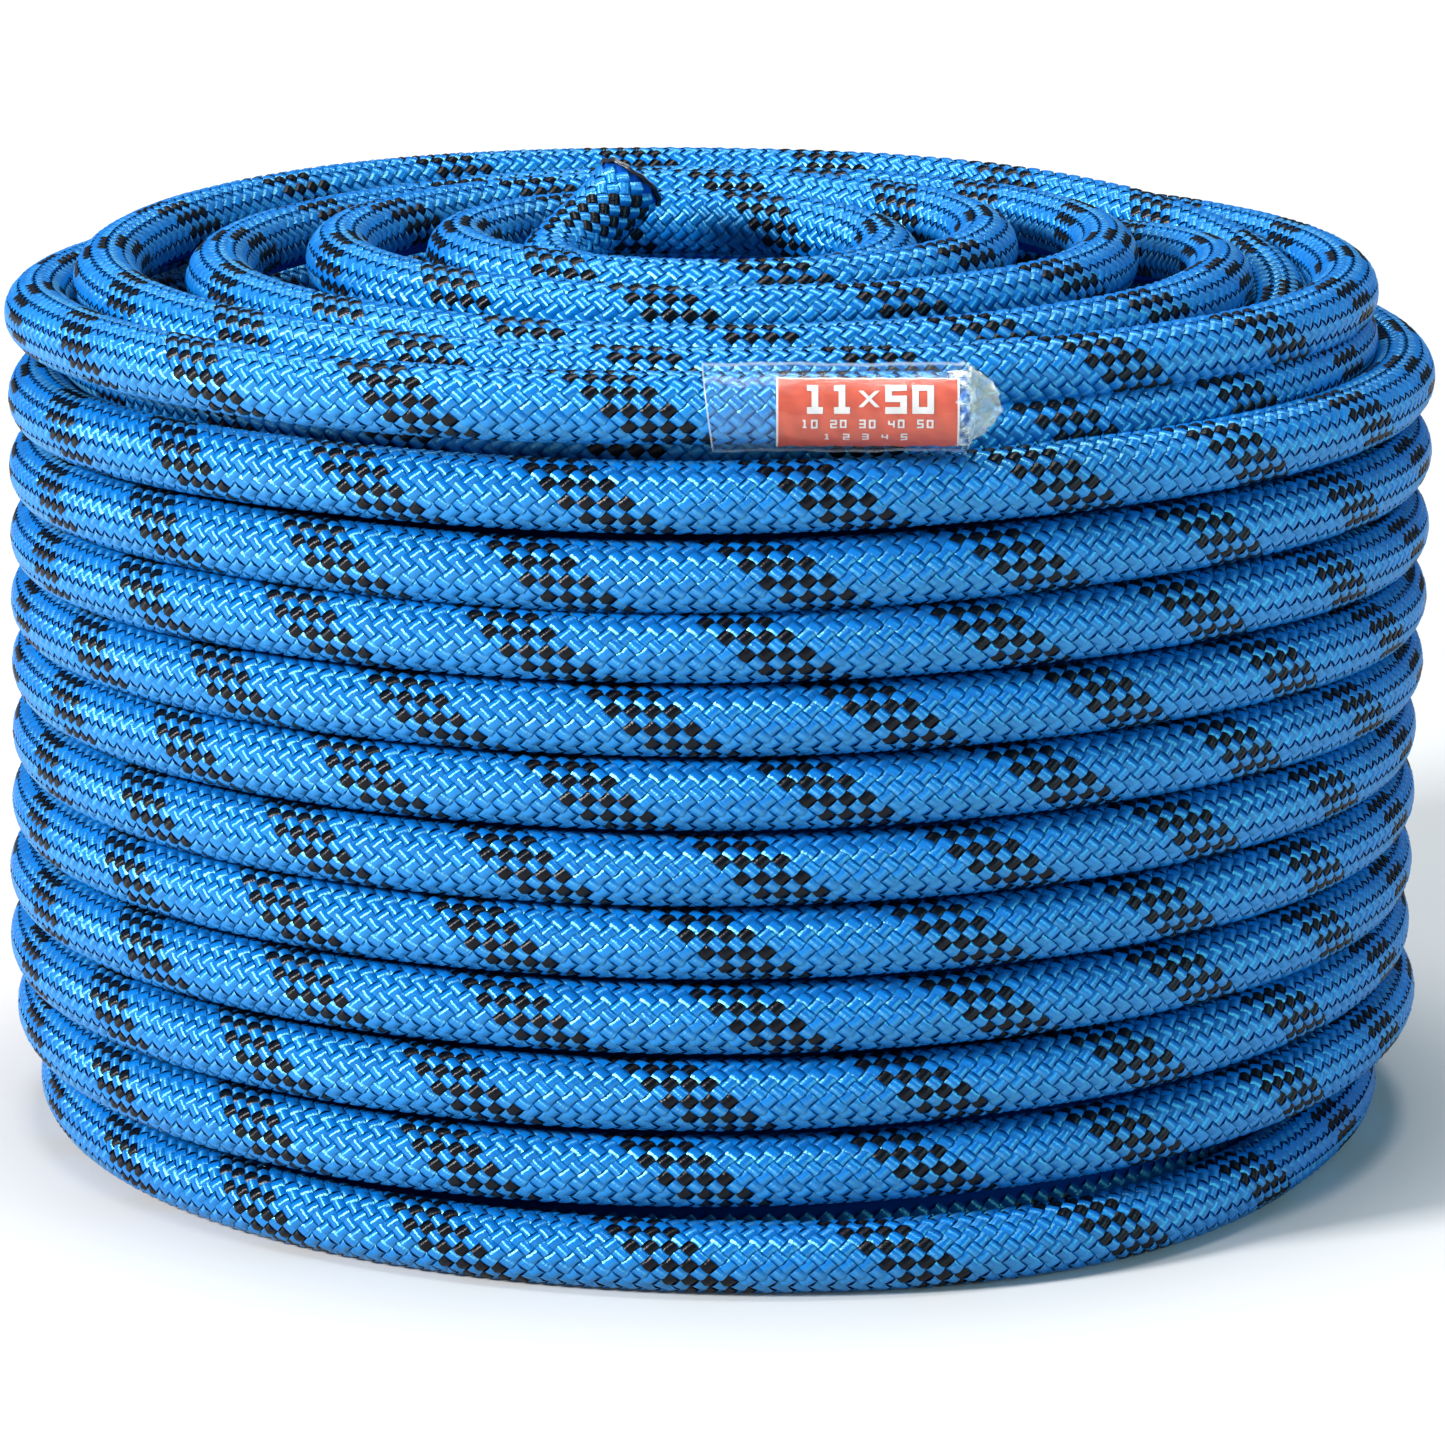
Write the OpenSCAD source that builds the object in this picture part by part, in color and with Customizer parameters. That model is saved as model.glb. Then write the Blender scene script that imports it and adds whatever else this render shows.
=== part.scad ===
// Dynamic climbing rope packed as a wound coil: a braided sheath over twisted core strands.
// The coil stands on z = 0 with its axis on Z. The label end lies at the front (-Y), pointing to +X.
// Angles along the turns run clockwise seen from above: 0 front, 90 left, 180 back, 270 right.

/* [Rope] */
// Outer diameter of the rope
cord_d = 11; // [10.8:0.1:11.2]
// Thickness of the braided sheath
sheath_t = 1.2; // [1:0.1:1.3]

/* [Coil] */
// Radius of the outer turns, to the middle of the rope
coil_r = 110; // [109:0.5:112]
// Level rows of rope on the coil's side
rows = 11; // [4:1:11]
// Turns under the coil, inside its lowest row
bottom_turns = 6; // [4:1:6]

/* [Label end] */
// Length of the straight sheath and core under the label
label_end_l = 40; // [38:0.5:42]
// Length of the paper label along the rope
label_l = 27; // [20:0.5:30]
// Length of the clear sleeve's tube, from its mouth to where the pinch starts
sleeve_l = 38; // [36:0.5:40]
// Wall of the clear sleeve
sleeve_t = 0.5; // [0.4:0.1:0.6]

/* [Hidden] */
STRANDS = 12;
INNER_STRANDS = 3;

blue = "#1f7fd6";
dark_blue = "#155fa8";
undyed = "#efeee6";
$fn = 64;
LARGE_FN = 180;

// A wound tube's sides, and the angle between its rings round a turn
SIDES = 6;
STEP = 15;
// Clear distance between a rope's side and what lies beside it
side_gap = 0.3;
cord_r = cord_d / 2;

// Outer turns. What depends on the rope's thickness is given in rope diameters.
row_pitch = 1.045 * cord_d;
bottom_pitch = 1.145 * cord_d;
// The lowest turns are cut flat by a tenth of the diameter
bottom_z = 0.4 * cord_d;
// Part of a turn, at the back, in which the rope climbs to the next row
climb = 1 / 3;
climb_end = 0.5 + climb / 2;
first_row_z = bottom_z + (rows - 1) * row_pitch;
set_in_r = coil_r - 1.1 * cord_d;
set_in_z = first_row_z + 0.7 * row_pitch;
// The set-in turn ends short of its own climb
set_in_turns = 0.55;
// It moves in this part of a turn before it climbs
set_in_lead = 0.1;
// The innermost part of the lowest turns curls in by this much
curl = 0.45 * cord_d;
curl_turns = 0.3;

// Top turns
label_y = -0.995 * coil_r;
label_z = first_row_z + 1.3 * cord_d;
top_z = set_in_z + 1.055 * cord_d;
label_drop = 0.107 * coil_r;
label_start_x = -0.5 * cord_d;
// Angles over which the label turns bend from the straight end and rise to their own height
label_bend_span = 75;
label_rise_span = 240;
label_dive_angle = 540;
label_dive_r = 0.765 * coil_r;
top_rise_angle = 585;
top_turns_r = 0.745 * coil_r;
top_drop = 0.17 * coil_r;
top_last_angle = 1875;
// The innermost turn sinks into the hole in the middle
sink = 0.5 * cord_d;
sink_angle = 1700;
sink_span = 120;
// A turn's bend where it goes down into the core, or comes up out of it
bend_r = 1.3 * cord_d;

// Plain core of inner turns
core_r = coil_r * cos(STEP / 2) - cord_r - side_gap;
core_z = bottom_z + cord_r + side_gap;
shoulder_z = first_row_z - cord_r - side_gap;
drum_r = set_in_r * cos(STEP / 2) - cord_r - side_gap;
core_top = top_z - cord_r - side_gap;
// Angle over which a step on the core falls back to its round outline
step_span = 60;
middle_hole_r = 2.95 * cord_d;
middle_hole_depth = 2 * cord_d;

// Core strands: three in the middle, nine round them, and a flat tape between
core_space_r = cord_r - sheath_t;
strand_r = core_space_r / 4.35;
strand_rings = [1.2, 3.2] * strand_r;
tape_size = [0.15, 1.2];
tape_r = 1.85 * strand_r;

// Ends. Starts are distances along the straight label end.
melted_tip_l = 2.5;
melted_tip_round = 1.2;
melted_tip_inset = 0.2;
label_start = 13.4;
label_t = 0.2;
label_r_in = cord_r + side_gap / 3;
// The paper goes this far round the rope, from above its front down under it
label_wrap = 262;
label_top = 47;
sleeve_start = 3.2;
sleeve_r = cord_r + label_t + side_gap;
sleeve_slant = 7;
pinch_l = 5.5;
pinch_w = 1.15 * cord_d;
// The tail's straight sheath, and its melted rim with its spread past the sheath
tail_l = 0.45 * cord_d;
melted_rim_l = 1.4;
melted_rim_spread = 0.07 * cord_d;

function two_digits(i) = i < 10 ? str("0", i) : str(i);
function strand_name(end, i) = str(end, "_core_strand_", two_digits(i));
function unit(v) = v / norm(v);
function clamp01(t) = min(1, max(0, t));
function smooth(t) = let (c = clamp01(t)) c * c * (3 - 2 * c);
// A point at an angle along a turn, r out from the axis and ahead by a
function turned(angle, r, z, a = 0) =
    [-r * sin(angle) - a * cos(angle), -r * cos(angle) + a * sin(angle), z];
function flat(p) = [p[0], p[1]];

// Outer turns: out under the coil, up its side row by row, then one turn set in above them.
// t counts turns from the end of the lowest climb.
spiral_end = 1 - climb;
outer_first = spiral_end - bottom_turns;
outer_last = rows + set_in_turns;
function climbed(t) = floor(t) + smooth((t - floor(t) - spiral_end) / climb);
function set_in(t) = smooth((t - rows + climb) / climb);
function moved_in(t) = set_in(t + set_in_lead);
function outer_r(t) =
    coil_r + bottom_pitch * min(0, t - spiral_end) - (coil_r - set_in_r) * moved_in(t)
    - curl * pow(max(0, 1 - (t - outer_first) / curl_turns), 2);
function outer_z(t) =
    bottom_z + row_pitch * max(0, min(rows - 1, climbed(t))) + (set_in_z - first_row_z) * set_in(t);
outer_run = [for (t = [outer_first:STEP / 360:outer_last + STEP / 720])
    turned(360 * (t + climb_end), outer_r(t), outer_z(t))];
function ahead(run) = let (n = len(run)) run[n - 1] + unit(run[n - 1] - run[n - 2]) * cord_d;
function behind(run) = run[0] + unit(run[0] - run[1]) * cord_d;
outer_path = concat([behind(outer_run)], outer_run, [ahead(outer_run)]);

// A turn that keeps its radius round the front half and is drawn in round the back half
function drawn_in(angle, r, drop) =
    let (t = (angle - 90) / 360) r - drop * (floor(t) + smooth(2 * (t - floor(t))));

// A quarter bend down from level, then a straight run down, as distances ahead and up
dive = concat(
    [for (k = [1:4]) bend_r * [sin(22.5 * k), cos(22.5 * k) - 1]],
    [[bend_r, -bend_r - cord_d]]);

// Label turns: from the straight label end once and a half round, then down a well in the core
function label_r(angle) =
    let (r = drawn_in(angle, coil_r, label_drop))
    angle > label_dive_angle - 90
        ? r + (label_dive_r - drawn_in(label_dive_angle, coil_r, label_drop))
            * smooth((angle - label_dive_angle) / 90 + 1)
        : r - (coil_r + label_y) * (1 - smooth(angle / 90));
label_path = concat(
    [[label_start_x, label_y, label_z]],
    [for (angle = [0:STEP:label_dive_angle])
        turned(angle, label_r(angle), label_z + (top_z - label_z) * smooth(angle / label_rise_span))
        + [(label_start_x - cord_d) * (1 - smooth(angle / label_bend_span)), 0, 0]],
    [for (o = dive) turned(label_dive_angle, label_dive_r, top_z + o[1], o[0])]);

// Top turns: up another well, then inward to the tail
top_run = [for (angle = [top_rise_angle:STEP:top_last_angle])
    turned(angle, drawn_in(angle - 720, top_turns_r, top_drop),
        top_z - sink * smooth((angle - sink_angle) / sink_span))];
top_start_r = drawn_in(top_rise_angle - 720, top_turns_r, top_drop);
top_dive = [for (k = [len(dive) - 1:-1:0])
    turned(top_rise_angle, top_start_r, top_z + dive[k][1], -dive[k][0])];

// Tail: a bend from the last turn up to the tail's own direction, then straight
tail_dir = unit([0.62, 0.3, 0.55]);
tail_bend_r = cord_d;
tail_from = top_run[len(top_run) - 1];
tail_in = unit(tail_from - top_run[len(top_run) - 2]);
tail_across = unit(tail_dir - tail_in * (tail_dir * tail_in));
tail_turn = acos(tail_dir * tail_in);
tail_bend = [for (k = [1:6]) let (a = tail_turn * k / 6)
    tail_from + tail_bend_r * (sin(a) * tail_in + (1 - cos(a)) * tail_across)];
tail_joint = tail_bend[5] + tail_dir * cord_d;
top_path = concat(top_dive, top_run, tail_bend, [tail_joint]);

// Rings of a tube along a path, each square to it, with its first side carried on from the last
function path_dir(path, i) =
    i == 0 ? unit(path[1] - path[0])
    : i == len(path) - 1 ? unit(path[i] - path[i - 1])
    : unit(unit(path[i + 1] - path[i]) + unit(path[i] - path[i - 1]));
function carried(side, dir) = unit(side - dir * (side * dir));
function path_sides(path, first) =
    [for (i = 0, s = carried(first, path_dir(path, 0)); i < len(path);
          i = i + 1, s = i < len(path) ? carried(s, path_dir(path, i)) : s) s];
// phase turns a ring's corners: at 0 it has a flat side down, at 30 a corner down
function ring(centre, dir, side, phase) =
    [for (k = [0:SIDES - 1])
        let (a = phase + 360 / SIDES * k, p = centre + cord_r * (cos(a) * side + sin(a) * cross(dir, side)))
        [p[0], p[1], max(0, p[2])]];

// A closed tube of triangles along a path, whose first flat_rings rings have a flat side down
module wound_tube(path, first_side, flat_rings = 0) {
    last = len(path) - 1;
    sides = path_sides(path, first_side);
    points = [for (i = [0:last])
        each ring(path[i], path_dir(path, i), sides[i], 30 * clamp01((i - flat_rings) * STEP / 360))];
    walls = [for (i = [0:last - 1], k = [0:SIDES - 1])
        let (a = i * SIDES + k, b = i * SIDES + (k + 1) % SIDES)
        each [[a, b, a + SIDES], [b, b + SIDES, a + SIDES]]];
    ends = [for (k = [1:SIDES - 2])
        each [[0, k + 1, k], [last * SIDES, last * SIDES + k, last * SIDES + k + 1]]];
    polyhedron(points, concat(walls, ends));
}

// Least gap between the parts of one tube that lie more than apart rings from each other
function least_gap(path, apart) =
    min([for (i = [0:len(path) - 1], j = [i + apart:1:len(path) - 1])
        if (abs(path[i][2] - path[j][2]) < 2 * cord_d) norm(path[i] - path[j])]) - cord_d;
echo(outer_turns_least_gap = least_gap(outer_path, 5));
echo(label_turns_least_gap = least_gap(label_path, 5));
echo(top_turns_least_gap = least_gap(top_path, 8));

module outer_turns() {
    color(blue) wound_tube(outer_path, [-1, 0, 0], ceil(bottom_turns * 360 / STEP) + 2);
}

module label_turns() {
    color(blue) wound_tube(label_path, [0, 1, 0]);
}

module top_turns() {
    color(blue) wound_tube(top_path, -turned(top_rise_angle, 1, 0));
}

// A step in a round outline for a rope's end to meet square. It falls back to radius r the way it goes.
module rope_step(end, dir, r, way) {
    out = unit(flat(end) - flat(dir) * (flat(end) * flat(dir)));
    corner = flat(end) + out * cord_r;
    angle = atan2(-corner[0], -corner[1]);
    polygon(concat(
        [flat(end) - out * (cord_r + 4 * side_gap), corner],
        [for (k = [0.125:0.125:1])
            flat(turned(angle + way * step_span * k, norm(corner) * (1 - k) + (r - side_gap) * k, 0))]));
}

// A slot with a round end, for a rope that goes straight down; way is 1 where the rope arrives
module well(angle, r, way) {
    width = cord_d + 4 * side_gap;
    length = bend_r + cord_r;
    floor_z = top_z - bend_r - cord_d;
    translate(turned(angle, r, floor_z, way * bend_r)) rotate(-angle) {
        cylinder(d = width, h = core_top);
        translate([way > 0 ? 0 : -length, -width / 2, 0]) cube([length, width, core_top]);
    }
}

module inner_turns() {
    hub_r = norm(flat(outer_path[0])) - cord_r - 4 * side_gap;
    end = len(outer_path) - 1;
    color(dark_blue) difference() {
        union() {
            translate([0, 0, core_z]) cylinder(r = core_r, h = shoulder_z - core_z, $fn = LARGE_FN);
            translate([0, 0, core_z]) linear_extrude(core_top - core_z) {
                circle(r = drum_r, $fn = LARGE_FN);
                rope_step(outer_path[end], path_dir(outer_path, end), drum_r, 1);
            }
            translate([0, 0, side_gap]) linear_extrude(core_z) {
                circle(r = hub_r);
                rope_step(outer_path[0], path_dir(outer_path, 0), hub_r, -1);
            }
        }
        well(label_dive_angle, label_dive_r, 1);
        well(top_rise_angle, top_start_r, -1);
        translate([0, 0, core_top - middle_hole_depth]) cylinder(r = middle_hole_r, h = core_top);
    }
}

// Pieces of a straight rope end, along Z from where it leaves the wound rope
module rope_sheath(length) {
    color(blue) difference() {
        cylinder(r = cord_r, h = length);
        translate([0, 0, -1]) cylinder(r = core_space_r, h = length + 2);
    }
}

module core_strand(i, length) {
    inner = i <= INNER_STRANDS;
    angle = inner ? i * 120 : 20 + i * 360 / (STRANDS - INNER_STRANDS);
    color(undyed) rotate(angle) translate([strand_rings[inner ? 0 : 1], 0, 0])
        cylinder(r = strand_r, h = length, $fn = 32);
}

module id_tape(length) {
    color("gold") rotate(60) translate([tape_r - tape_size[0] / 2, -tape_size[1] / 2, 0])
        cube([tape_size[0], tape_size[1], length]);
}

module at_label_end(along = 0) {
    translate([label_start_x + along, label_y, label_z]) rotate([0, 90, 0]) children();
}

module at_tail(along = 0) {
    translate(tail_joint + tail_dir * along)
        rotate([0, acos(tail_dir[2]), atan2(tail_dir[1], tail_dir[0])]) children();
}

// Sheath and core fused to a rounded, slightly narrower plug
module label_end_melted_tip() {
    r = cord_r - melted_tip_inset;
    flat_r = r - melted_tip_round;
    color(undyed) at_label_end(label_end_l) rotate_extrude() {
        square([flat_r, melted_tip_l]);
        square([r, melted_tip_l - melted_tip_round]);
        translate([flat_r, melted_tip_l - melted_tip_round]) intersection() {
            circle(r = melted_tip_round, $fn = 32);
            square(melted_tip_round);
        }
    }
}

// A strip laid round the rope, its ends parted behind the top
module paper_label() {
    color("#ef5a2a") at_label_end(label_start) rotate(270 - label_top)
        rotate_extrude(angle = label_wrap) translate([label_r_in, 0]) square([label_t, label_l]);
}

// A shrunk tube with a slanted mouth, drawn flat and pinched shut past the rope's end
module clear_sleeve() {
    outer = sleeve_r + sleeve_t;
    lip = 2 * sleeve_t;
    color("#dfe9ee", 0.4) at_label_end(sleeve_start) {
        difference() {
            cylinder(r = outer, h = sleeve_l);
            translate([0, 0, -1]) cylinder(r = sleeve_r, h = sleeve_l + 2);
            translate([0, 0, outer * tan(sleeve_slant)]) rotate([0, -sleeve_slant, 0])
                translate([0, 0, -outer]) cube([4 * outer, 4 * outer, 2 * outer], center = true);
        }
        translate([0, 0, sleeve_l]) difference() {
            hull() {
                cylinder(r = outer, h = 0.1, $fn = 32);
                translate([-pinch_w / 2, -lip / 2, pinch_l - 0.1]) cube([pinch_w, lip, 0.1]);
            }
            translate([0, 0, -0.01]) hull() {
                cylinder(r = sleeve_r, h = 0.1, $fn = 32);
                translate([-pinch_w / 2 + sleeve_t, -lip / 8, pinch_l - 3 * sleeve_t])
                    cube([pinch_w - 2 * sleeve_t, lip / 4, 0.1]);
            }
        }
    }
}

// Sheath and core fused by a hot knife, spread a little past the sheath
module tail_melted_rim() {
    color("#1c2a3c") at_tail(tail_l) rotate_extrude()
        polygon([[0, 0], [cord_r, 0], [cord_r + melted_rim_spread, melted_rim_l / 2],
            [cord_r + melted_rim_spread / 2, melted_rim_l], [0, melted_rim_l]]);
}

outer_turns();
inner_turns();
label_turns();
top_turns();
at_label_end() rope_sheath(label_end_l);  // label_end_sheath
at_label_end() id_tape(label_end_l);  // label_end_id_tape
label_end_melted_tip();
paper_label();
clear_sleeve();
at_tail() rope_sheath(tail_l);  // tail_sheath
at_tail() id_tape(tail_l);  // tail_id_tape
tail_melted_rim();
for (i = [1:STRANDS]) {
    at_label_end() core_strand(i, label_end_l);
    at_tail() core_strand(i, tail_l);
}
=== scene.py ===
"""A 50 m braided climbing rope wound into a standing coil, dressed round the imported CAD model."""
import math

import bpy
import numpy as np
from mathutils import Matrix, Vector


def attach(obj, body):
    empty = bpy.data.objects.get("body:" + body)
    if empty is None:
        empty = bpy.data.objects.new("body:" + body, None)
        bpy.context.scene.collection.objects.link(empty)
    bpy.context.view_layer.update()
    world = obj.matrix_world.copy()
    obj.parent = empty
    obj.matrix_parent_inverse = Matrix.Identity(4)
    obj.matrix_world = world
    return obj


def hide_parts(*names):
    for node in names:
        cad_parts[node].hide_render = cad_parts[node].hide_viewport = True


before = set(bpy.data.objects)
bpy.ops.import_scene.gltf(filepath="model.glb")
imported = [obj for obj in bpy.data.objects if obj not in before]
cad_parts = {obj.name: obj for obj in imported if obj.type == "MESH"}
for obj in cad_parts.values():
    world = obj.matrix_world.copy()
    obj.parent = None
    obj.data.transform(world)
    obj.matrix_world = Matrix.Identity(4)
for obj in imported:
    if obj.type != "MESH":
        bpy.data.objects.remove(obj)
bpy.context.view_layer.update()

rng = np.random.default_rng(11)
scene = bpy.context.scene

# ---------------------------------------------------------------- rope and coil, in metres
D = 0.011                      # rope diameter
R = 0.110                      # outer turns, to the middle of the rope
ROWS = 11                      # level rows on the coil's side
ROW_PITCH = 1.048 * D
BOTTOM_TURNS = 6
BOTTOM_PITCH = 1.145 * D
BOTTOM_Z = 0.5 * D
CLIMB = 1 / 3                  # part of a turn in which the rope climbs to the next row
CLIMB_END = 0.5 + CLIMB / 2
LABEL_Y = -0.10945             # the straight label end lies along X
LABEL_END_X = 0.0345           # where sheath and core end
LABEL_START_X = -0.0055
SECTIONS = 6                   # the stretches of the rope, in the order in which it runs
LABEL_END, LABEL_TURNS, INNER, OUTER, TOP, TAIL = range(SECTIONS)

# ---------------------------------------------------------------- camera
cam_data = bpy.data.cameras.new("camera")
cam = bpy.data.objects.new("camera", cam_data)
scene.collection.objects.link(cam)
scene.camera = cam
cam_data.sensor_width = 36.0
cam_data.lens = 195.5
elevation = math.radians(12.66)
distance = 1.2826
aim = Vector((0, 0, 0.0630))
back = Vector((0, -math.cos(elevation), math.sin(elevation)))
cam.location = aim + back * distance
cam.rotation_mode = "QUATERNION"
cam.rotation_quaternion = (-back).to_track_quat("-Z", "Y")
cam_data.clip_start, cam_data.clip_end = 0.05, 40.0


# ---------------------------------------------------------------- the rope's route
def smooth(t):
    t = np.clip(t, 0, 1)
    return t * t * (3 - 2 * t)


def turned(angle, r, z):
    """Points at angles in degrees, clockwise from above: 0 front, 90 left, 180 back, 270 right."""
    a = np.radians(angle)
    return np.stack([-r * np.sin(a), -r * np.cos(a), z * np.ones_like(a)], 1)


def blurred(values, sigma):
    """Values along the first axis, softened by a bell of sigma steps. The ends stay where they are."""
    n = int(math.ceil(3 * sigma))
    bell = np.exp(-0.5 * (np.arange(-n, n + 1) / sigma) ** 2)
    bell /= bell.sum()
    v = values if values.ndim > 1 else values[:, None]
    padded = np.concatenate([2 * v[:1] - v[n:0:-1], v, 2 * v[-1:] - v[-2:-n - 2:-1]])
    out = np.stack([np.convolve(padded[:, k], bell, "valid") for k in range(v.shape[1])], 1)
    return out if values.ndim > 1 else out[:, 0]


STEP = 1.5                     # degrees between points of the route
KEY_BLUR = 14                  # degrees


def keyed(angle, keys, unit=D):
    """A soft line through (angle, value) pairs."""
    k = np.array(keys, float)
    return blurred(np.interp(angle, k[:, 0], k[:, 1]), KEY_BLUR / STEP) * unit


def side_sag(angle, r, z):
    """The rows slump a little at the left and right, and the right side draws in."""
    left = np.clip(np.sin(np.radians(angle)), 0, 1) ** 4
    right = np.clip(-np.sin(np.radians(angle)), 0, 1) ** 4
    h = z / D
    up = smooth((h - 0.8) / 1.5)
    dz = left * (-0.08 - 0.22 * smooth((h - 6) / 4)) - right * 0.25 * np.exp(-((h - 8.3) / 2.6) ** 2)
    dz += 0.10 * np.clip(-np.sin(np.radians(angle)), 0, 1)
    dz += (0.12 * left + 0.3 * right) * np.exp(-((h - 1.8) / 1.0) ** 2)
    dz -= 0.10 * np.exp(-((h - 10.2) / 0.9) ** 2) * np.clip(np.cos(np.radians(angle - 12)), 0, 1) ** 6
    dr = left * 0.08 * (1 - smooth((h - 3) / 4))
    dr += right * (-0.05 - 0.20 * (1 - smooth((h - 5) / 5)))
    return r + dr * D * up, z + dz * D * up


# the label end: straight, then one turn and a half, then down under its own second turn
a1 = np.arange(0, 690, STEP)
r1 = keyed(a1, [(0, 9.95), (90, 10.05), (180, 9.62), (270, 9.12), (360, 8.86), (450, 9.05),
                (540, 8.75), (600, 8.4), (645, 8.1), (690, 8.0)])
z1 = keyed(a1, [(0, 12.30), (15, 12.36), (48, 12.36), (71, 12.16), (90, 12.0), (135, 11.95),
                (180, 12.0), (270, 12.3), (360, 12.45), (450, 12.50), (502, 12.64), (540, 12.52),
                (570, 12.54), (600, 12.28), (640, 11.8), (690, 11.4)])
label_turns = turned(a1, r1, z1)
label_turns[:, 0] += (LABEL_START_X - D) * (1 - smooth(a1 / 75))
label_turns[:, 1] += (-label_turns[0, 1] + LABEL_Y) * (1 - smooth(a1 / 60))
straight = np.linspace(LABEL_END_X, label_turns[0, 0] + 0.002, 24)
label_end = np.stack([straight, np.full_like(straight, LABEL_Y),
                      np.full_like(straight, label_turns[0, 2])], 1)

# under the top: one more turn, then layer inside layer, down and up, to the middle of the base
INNER_TURNS = 95 + 1 / 12
LAYER_R = np.linspace(9.1, 2.1, 9) * D
LAYER_TURNS = [9.75, 9.75] + [10.62] * 6
LAYER_TURNS.append(INNER_TURNS - sum(LAYER_TURNS))
a2, r2, z2 = [np.arange(690, 1170, STEP)], [], []
r2.append(keyed(a2[0], [(690, 8.0), (1050, 8.0), (1170, 9.1)]))
z2.append(keyed(a2[0], [(690, 11.4), (1050, 11.45), (1110, 11.0), (1170, 10.55)]))
for k, (radius, turns) in enumerate(zip(LAYER_R, LAYER_TURNS)):
    a = np.arange(a2[-1][-1] + STEP, a2[-1][-1] + 360 * turns, STEP)
    part = np.linspace(0, 1, len(a))
    low, high = 1.62 * D, (10.55 if k < 2 else 11.55) * D
    start, end = (high, low) if k % 2 == 0 else (low, high)
    before = LAYER_R[k - 1] if k else radius
    turning = smooth((a - a[0]) / 150)
    a2.append(a)
    r2.append(before + (radius - before) * turning)
    z2.append(start + (end - start) * part)
inner = turned(np.concatenate(a2), np.concatenate(r2), np.concatenate(z2))

# the base: out under the coil, then up its side row by row, then one turn set in above the rows
spiral_end = 1 - CLIMB
outer_first = spiral_end - BOTTOM_TURNS
t3 = np.arange(outer_first, ROWS + spiral_end, STEP / 360)
a3 = 360 * (t3 + CLIMB_END)
set_in = smooth((t3 - ROWS + CLIMB) / CLIMB)
moved_in = smooth((t3 + 0.08 - ROWS + CLIMB) / CLIMB)
climbed = np.floor(t3) + smooth((t3 - np.floor(t3) - spiral_end) / CLIMB)
r3 = R + BOTTOM_PITCH * np.minimum(0, t3 - spiral_end) - 0.85 * D * moved_in
r3 -= 0.45 * D * np.maximum(0, 1 - (t3 - outer_first) / 0.3) ** 2
# the lowest row bulges at the front, and the rows just above it lie less tightly
r3 += keyed(a3, [(120, 0), (270, 0.0), (300, -0.25), (310, 0.1), (324, 0.95), (340, 0.95), (370, 0.42),
                (400, 0.15), (430, -0.25), (460, -0.2), (490, 0), (4310, 0), (4345, 0.13), (4385, 0.13),
                (4430, 0)])
row_no = np.clip(climbed, 0, ROWS - 1)
z3 = BOTTOM_Z + ROW_PITCH * row_no
z3 += D * np.interp(row_no, [0, 1, 2, 3, 7, 10], [0, 0.10, 0.15, 0.17, 0.17, 0.13])
z3 += 0.52 * D * set_in + keyed(a3, [(4310, 0), (4345, 0.12), (4385, 0.12), (4430, 0)])
sagged = side_sag(a3, r3, z3)
r3, z3 = sagged[0], sagged[1] + (z3 - sagged[1]) * 0.6 * set_in
row_noise = blurred(rng.normal(0, 1, len(t3)), 40 / STEP)
r3 += 0.02 * D * row_noise / row_noise.std() * (t3 > 0.3)
z3 += 0.012 * D * blurred(rng.normal(0, 1, len(t3)), 30 / STEP) / 0.12 * (t3 > 0.5)
outer = turned(a3, r3, z3)

# the top: up at the back and inward, turn by turn, to the tail
a4 = np.arange(120, 1521, STEP)
r4 = keyed(a4, [(120, 9.1), (150, 8.8), (180, 8.15), (225, 7.45), (270, 7.27), (360, 7.35), (450, 7.43),
                (540, 6.5), (630, 5.57), (810, 5.68), (900, 4.75), (990, 3.8), (1170, 3.93), (1260, 3.15),
                (1350, 2.4), (1440, 2.42), (1524, 2.62)])
z4 = keyed(a4, [(120, 11.5), (180, 11.55), (225, 12.0), (270, 12.48), (450, 12.5), (630, 12.7), (810, 12.78),
                (990, 12.82), (1170, 12.82), (1260, 12.75), (1350, 12.62), (1440, 12.5), (1524, 12.55)])
top = turned(a4, r4, z4)

# the tail: a bend out of the last turn and up to the cut
TAIL_END = np.array([-1.35, 1.45, 13.62]) * D
TAIL_DIR = np.array([0.50, 0.42, 0.72]) / np.linalg.norm([0.50, 0.42, 0.72])
heading = top[-1] - top[-2]
heading /= np.linalg.norm(heading)
b = np.linspace(0.02, 1, 50)[:, None]
pull_0, pull_1 = top[-1] + heading * 1.05 * D, TAIL_END - TAIL_DIR * 0.75 * D
tail = ((1 - b) ** 3 * top[-1] + 3 * (1 - b) ** 2 * b * pull_0 + 3 * (1 - b) * b ** 2 * pull_1
        + b ** 3 * TAIL_END)

parts = [label_end, label_turns, inner, outer, top, tail]

# how far the braid runs ahead of its even spacing, in half picks: it stays the same along each row's front,
# from the lowest row up, and creeps to the next row's value round the back
ROW_CREEP = [-25.2, -23.2, -23.2, -18.6, -23.6, -21.2, -17.1, -12.7, -3.2, -3.0, -1.8]
row_creep = []
for row, cells in enumerate(ROW_CREEP):
    row_creep += [(360 * (row + 1) - 60, cells), (360 * (row + 1) + 60, cells)]
creep = np.concatenate([np.full(len(label_end), -11.7),
                        keyed(a1, [(0, -11.7), (60, -11.7), (300, -17), (690, -17)], 1),
                        np.linspace(-17, -25.2, len(inner)), keyed(a3, row_creep, 1),
                        keyed(a4, [(120, -1.8), (300, 0), (420, 0), (660, 12.5), (1521, 10)], 1),
                        np.full(len(tail), 10.0)])
route = np.concatenate(parts)
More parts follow.
